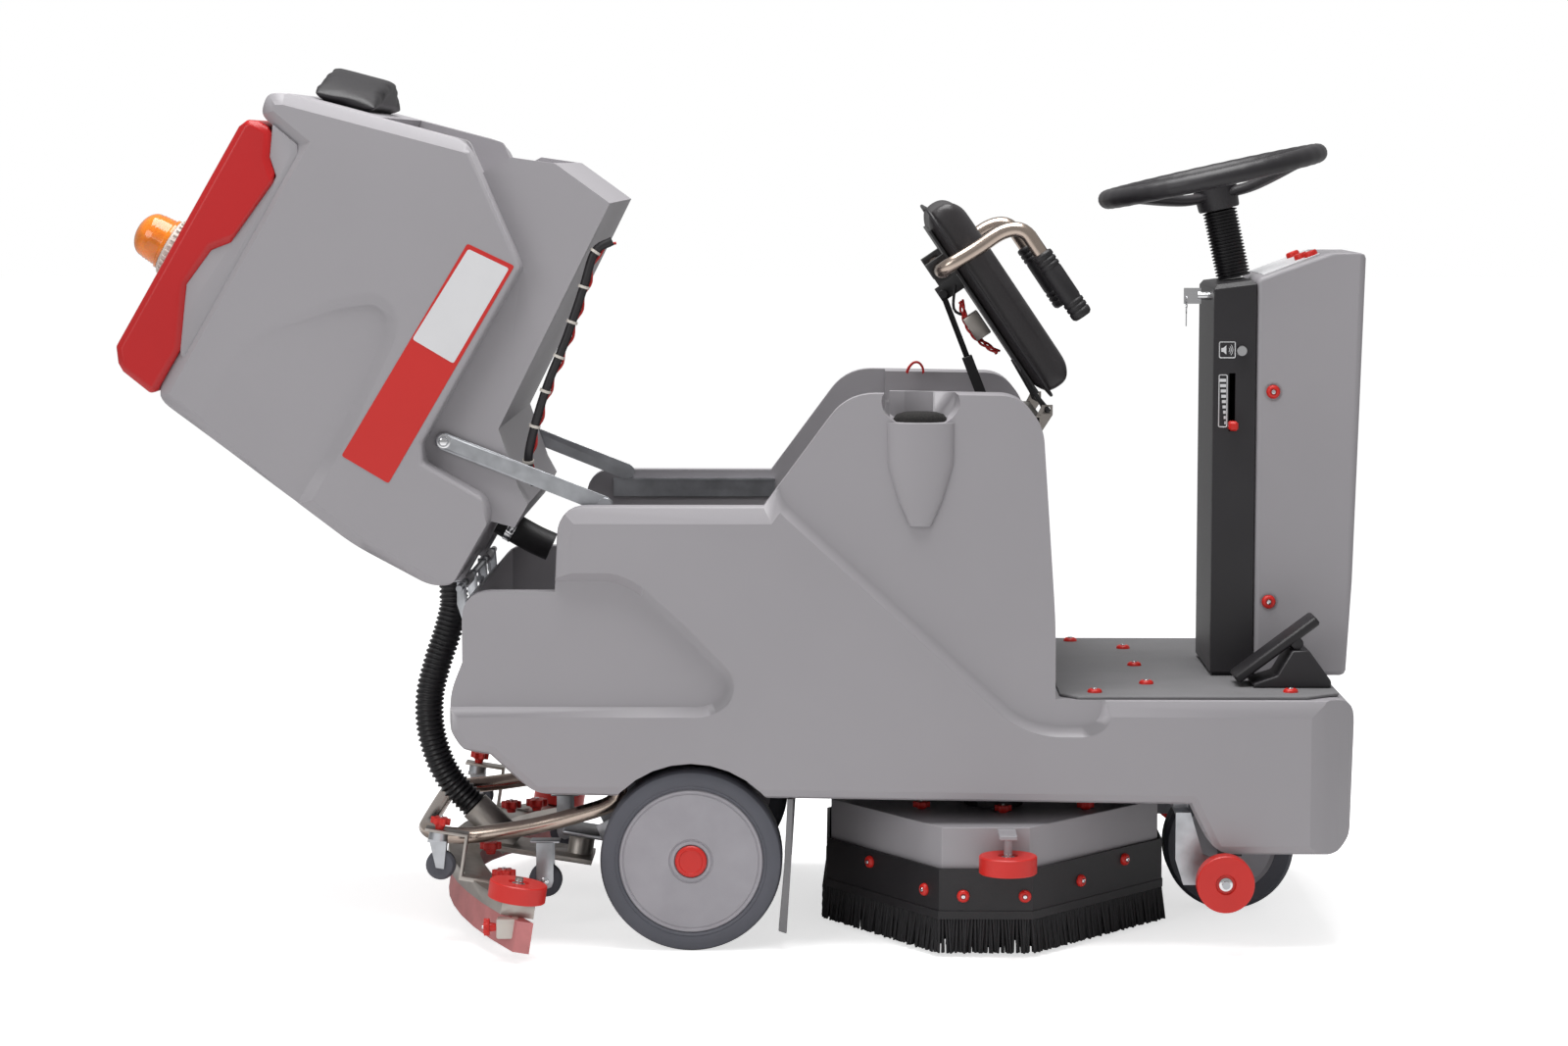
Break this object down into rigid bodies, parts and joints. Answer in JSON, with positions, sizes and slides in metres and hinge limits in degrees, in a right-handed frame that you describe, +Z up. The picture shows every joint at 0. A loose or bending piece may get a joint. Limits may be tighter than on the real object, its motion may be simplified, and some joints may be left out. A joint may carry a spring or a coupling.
{
  "type": "ride-on floor scrubber dryer",
  "caption": "Ride-on floor scrubber dryer shown open for service, its recovery tank tipped back and its seat raised forward.",
  "frame": {"origin": "centre of the bounding box's bottom face, on the floor under the machine as stored, tank open", "axes": "+X forward, the way the driver faces; +Y to the driver's left; +Z up from the floor"},
  "size_m": [1.8733, 0.912, 1.2955],
  "materials": {
    "moulded_grey": "matte grained",
    "moulded_red": "satin",
    "red_rubber": "matte",
    "amber_lens": "gloss",
    "black_plastic": "satin",
    "black_rubber": "matte",
    "grey_rubber": "matte",
    "seat_cover": "satin grained",
    "bristle": "matte",
    "painted_steel": "satin",
    "plated_steel": "satin",
    "polished_steel": "polished",
    "chrome": "gloss"
  },
  "bodies": {
    "machine": {"body_shell": "moulded_grey", "chassis_frame": "painted_steel", "battery_right": "black_plastic", "battery_left": "black_plastic", "footplate_mat": "grey_rubber", "console_housing": "moulded_grey", "console_trim": "black_plastic", "steering_bellows": "black_rubber", "pedal_base": "black_plastic", "link_rail_right": "polished_steel", "link_rail_left": "polished_steel", "rear_guard_tube": "polished_steel", "guard_bracket": "plated_steel", "mudflap_right": "grey_rubber", "mudflap_left": "grey_rubber", "suction_hose": "black_rubber", "tank_hinge_bracket": "plated_steel", "seat_hinge_bracket": "plated_steel"},
    "fork": {"front_fork": "painted_steel"},
    "front_wheel": {"front_wheel": "grey_rubber"},
    "steering_wheel": {"steering_wheel": "black_plastic"},
    "deck": {"deck_shroud": "moulded_grey", "deck_skirt": "black_rubber", "brush_motor_right": "painted_steel", "brush_motor_left": "painted_steel"},
    "squeegee_arm": {"squeegee_lift_arm": "plated_steel"},
    "squeegee": {"squeegee_beam": "plated_steel", "squeegee_blade": "red_rubber"},
    "seat": {"seat_pan": "painted_steel", "seat_cushion": "seat_cover"},
    "stay_sleeve": {"seat_stay_sleeve": "painted_steel"},
    "stay_rod": {"seat_stay_rod": "painted_steel"},
    "tank": {"recovery_tank": "moulded_grey", "sump_pipe": "black_rubber", "drain_hose": "black_rubber", "backrest_pad": "black_rubber"},
    "lid": {"tank_lid": "moulded_red", "beacon": "amber_lens"},
    "accelerator_pedal": {"accelerator_pedal": "black_rubber"},
    "squeegee_lever": {"squeegee_lever": "moulded_red"},
    "horn_button": {"horn_button": "chrome"},
    "ignition_key": {"ignition_key": "chrome"},
    "rear_wheel_right": {"rear_wheel_right": "grey_rubber"},
    "brush_right": {"brush_right": "bristle"},
    "deck_roller_right": {"deck_roller_right": "moulded_red"},
    "guard_roller_right": {"guard_roller_right": "moulded_red"},
    "squeegee_roller_right": {"squeegee_roller_right": "moulded_red"},
    "caster_fork_right": {"caster_fork_right": "plated_steel"},
    "caster_wheel_right": {"caster_wheel_right": "black_rubber"},
    "armrest_right": {"armrest_right": "polished_steel"},
    "tank_link_right": {"tank_link_right": "plated_steel"},
    "rear_wheel_left": {"rear_wheel_left": "grey_rubber"},
    "brush_left": {"brush_left": "bristle"},
    "deck_roller_left": {"deck_roller_left": "moulded_red"},
    "guard_roller_left": {"guard_roller_left": "moulded_red"},
    "squeegee_roller_left": {"squeegee_roller_left": "moulded_red"},
    "caster_fork_left": {"caster_fork_left": "plated_steel"},
    "caster_wheel_left": {"caster_wheel_left": "black_rubber"},
    "armrest_left": {"armrest_left": "polished_steel"},
    "tank_link_left": {"tank_link_left": "plated_steel"}
  },
  "joints": [
    {"name": "rear_wheel_right_spin", "type": "hinge", "parent": "machine", "child": "rear_wheel_right", "pos_m": [-0.07, -0.275, 0.1335], "axis": [0, 1, 0], "continuous": true},
    {"name": "rear_wheel_left_spin", "type": "hinge", "parent": "machine", "child": "rear_wheel_left", "pos_m": [-0.07, 0.275, 0.1335], "axis": [0, 1, 0], "continuous": true},
    {"name": "front_steer", "type": "hinge", "parent": "machine", "child": "fork", "pos_m": [0.75, 0, 0.1], "axis": [0, 0, 1], "range_deg": [-60, 60]},
    {"name": "front_wheel_spin", "type": "hinge", "parent": "fork", "child": "front_wheel", "pos_m": [0.75, -0.03, 0.1], "axis": [0, 1, 0], "continuous": true},
    {"name": "steering_wheel_turn", "type": "hinge", "parent": "machine", "child": "steering_wheel", "pos_m": [0.715, 0, 1.13], "axis": [-0.2181, 0, 0.9759], "range_deg": [-182, 182]},
    {"name": "deck_lift", "type": "slide", "parent": "machine", "child": "deck", "axis": [0, 0, 1], "range_m": [0, 0.025]},
    {"name": "brush_right_spin", "type": "hinge", "parent": "deck", "child": "brush_right", "pos_m": [0.38, -0.168, 0], "axis": [0, 0, 1], "continuous": true},
    {"name": "deck_roller_right_spin", "type": "hinge", "parent": "deck", "child": "deck_roller_right", "pos_m": [0.3905, -0.414, 0.144], "axis": [0, 0, 1], "continuous": true},
    {"name": "guard_roller_right_spin", "type": "hinge", "parent": "machine", "child": "guard_roller_right", "pos_m": [0.708, -0.372, 0.109], "axis": [0, 1, 0], "continuous": true},
    {"name": "brush_left_spin", "type": "hinge", "parent": "deck", "child": "brush_left", "pos_m": [0.38, 0.168, 0], "axis": [0, 0, 1], "continuous": true},
    {"name": "deck_roller_left_spin", "type": "hinge", "parent": "deck", "child": "deck_roller_left", "pos_m": [0.3905, 0.414, 0.144], "axis": [0, 0, 1], "continuous": true},
    {"name": "guard_roller_left_spin", "type": "hinge", "parent": "machine", "child": "guard_roller_left", "pos_m": [0.708, 0.372, 0.109], "axis": [0, 1, 0], "continuous": true},
    {"name": "squeegee_lift", "type": "hinge", "parent": "machine", "child": "squeegee_arm", "pos_m": [-0.15, 0, 0.15], "axis": [0, 1, 0], "range_deg": [0, 5], "deforming": ["suction_hose"]},
    {"name": "squeegee_swing", "type": "hinge", "parent": "squeegee_arm", "child": "squeegee", "pos_m": [-0.24388, 0, 0.16453], "axis": [0.153, 0, 0.9882], "range_deg": [-5, 5]},
    {"name": "squeegee_roller_right_spin", "type": "hinge", "parent": "squeegee", "child": "squeegee_roller_right", "pos_m": [-0.31861, -0.41, 0.10254], "axis": [0.153, 0, 0.9882], "continuous": true},
    {"name": "caster_right_swivel", "type": "hinge", "parent": "squeegee", "child": "caster_fork_right", "pos_m": [-0.43955, -0.3, 0.19482], "axis": [0.153, 0, 0.9882], "continuous": true},
    {"name": "caster_wheel_right_spin", "type": "hinge", "parent": "caster_fork_right", "child": "caster_wheel_right", "pos_m": [-0.44104, -0.309, 0.11987], "axis": [0, 1, 0], "continuous": true},
    {"name": "squeegee_roller_left_spin", "type": "hinge", "parent": "squeegee", "child": "squeegee_roller_left", "pos_m": [-0.31861, 0.41, 0.10254], "axis": [0.153, 0, 0.9882], "continuous": true},
    {"name": "caster_left_swivel", "type": "hinge", "parent": "squeegee", "child": "caster_fork_left", "pos_m": [-0.43955, 0.3, 0.19482], "axis": [0.153, 0, 0.9882], "continuous": true},
    {"name": "caster_wheel_left_spin", "type": "hinge", "parent": "caster_fork_left", "child": "caster_wheel_left", "pos_m": [-0.44104, 0.291, 0.11987], "axis": [0, 1, 0], "continuous": true},
    {"name": "seat_tilt", "type": "hinge", "parent": "machine", "child": "seat", "pos_m": [0.457, 0, 0.784], "axis": [0, 1, 0], "range_deg": [-56, 0]},
    {"name": "stay_swing", "type": "hinge", "parent": "machine", "child": "stay_sleeve", "pos_m": [0.396, 0, 0.715], "axis": [0, 1, 0], "range_deg": [-56.8, 0]},
    {"name": "stay_slide", "type": "slide", "parent": "stay_sleeve", "child": "stay_rod", "axis": [-0.3611, 0, 0.9325], "range_m": [-0.088, 0]},
    {"name": "armrest_right_fold", "type": "hinge", "parent": "seat", "child": "armrest_right", "pos_m": [0.29723, 0, 0.99226], "axis": [0, 1, 0], "range_deg": [-60, 0]},
    {"name": "armrest_left_fold", "type": "hinge", "parent": "seat", "child": "armrest_left", "pos_m": [0.29723, 0, 0.99226], "axis": [0, 1, 0], "range_deg": [-60, 0]},
    {"name": "tank_tilt", "type": "hinge", "parent": "machine", "child": "tank", "pos_m": [-0.413, 0, 0.527], "axis": [0, 1, 0], "range_deg": [0, 60]},
    {"name": "tank_link_right_turn", "type": "hinge", "parent": "tank", "child": "tank_link_right", "pos_m": [-0.43285, 0, 0.74562], "axis": [0, 1, 0], "range_deg": [-82, 0]},
    {"name": "tank_link_left_turn", "type": "hinge", "parent": "tank", "child": "tank_link_left", "pos_m": [-0.43285, 0, 0.74562], "axis": [0, 1, 0], "range_deg": [-82, 0]},
    {"name": "lid_open", "type": "hinge", "parent": "tank", "child": "lid", "pos_m": [-0.70708, 0, 1.22564], "axis": [0, 1, 0], "range_deg": [0, 70]},
    {"name": "accelerator_press", "type": "hinge", "parent": "machine", "child": "accelerator_pedal", "pos_m": [0.826, -0.2025, 0.4413], "axis": [0, 1, 0], "range_deg": [0, 12], "stiffness_Nm_per_rad": 6, "springref_deg": -5.73},
    {"name": "squeegee_lever_slide", "type": "slide", "parent": "machine", "child": "squeegee_lever", "axis": [0, 0, 1], "range_m": [0, 0.068]},
    {"name": "horn_press", "type": "slide", "parent": "machine", "child": "horn_button", "axis": [0, 1, 0], "range_m": [0, 0.004], "stiffness_N_per_m": 400, "springref_m": -0.003},
    {"name": "key_turn", "type": "hinge", "parent": "machine", "child": "ignition_key", "pos_m": [0.704, -0.06, 0.95], "axis": [1, 0, 0], "range_deg": [0, 60]}
  ],
  "couplings": [
    {"joint": "steering_wheel_turn", "follows": "front_steer", "ratio": 3},
    {"joint": "stay_swing", "follows": "seat_tilt", "ratio": 1.005},
    {"joint": "stay_slide", "follows": "seat_tilt", "m_per_rad": 0.0885},
    {"joint": "tank_link_right_turn", "follows": "tank_tilt", "ratio": -1.355},
    {"joint": "tank_link_left_turn", "follows": "tank_tilt", "ratio": -1.355}
  ]
}
